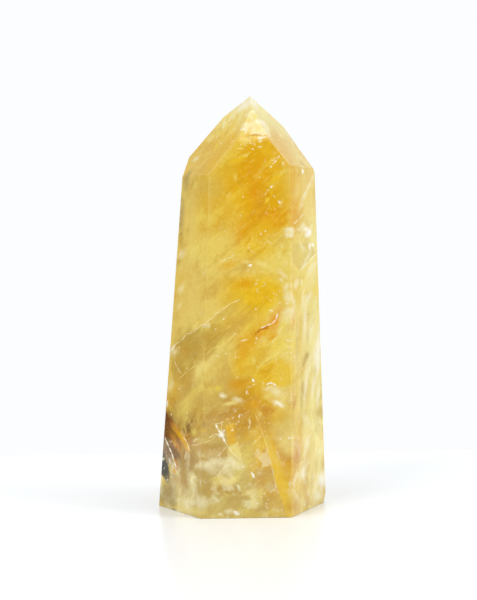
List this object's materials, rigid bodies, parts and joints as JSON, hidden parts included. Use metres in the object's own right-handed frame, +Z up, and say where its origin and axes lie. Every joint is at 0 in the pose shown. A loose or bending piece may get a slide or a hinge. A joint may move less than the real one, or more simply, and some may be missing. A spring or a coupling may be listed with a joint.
{
  "type": "golden healer quartz point",
  "caption": "Polished six-sided quartz tower with a pointed tip and a flat sawn base, golden and cloudy, that stands upright.",
  "frame": {"origin": "middle of the sawn base's outline box, on the plane that the tower stands on", "axes": "+Z up to the tip; -Y out of the widest front face; +X to that face's right as seen from the front"},
  "size_m": [0.0581, 0.0506, 0.1399],
  "materials": {
    "golden_quartz": "polished, cloudy golden quartz with pale milky zones and orange-gold iron staining"
  },
  "bodies": {
    "root": {"quartz_point": "golden_quartz"}
  },
  "joints": []
}
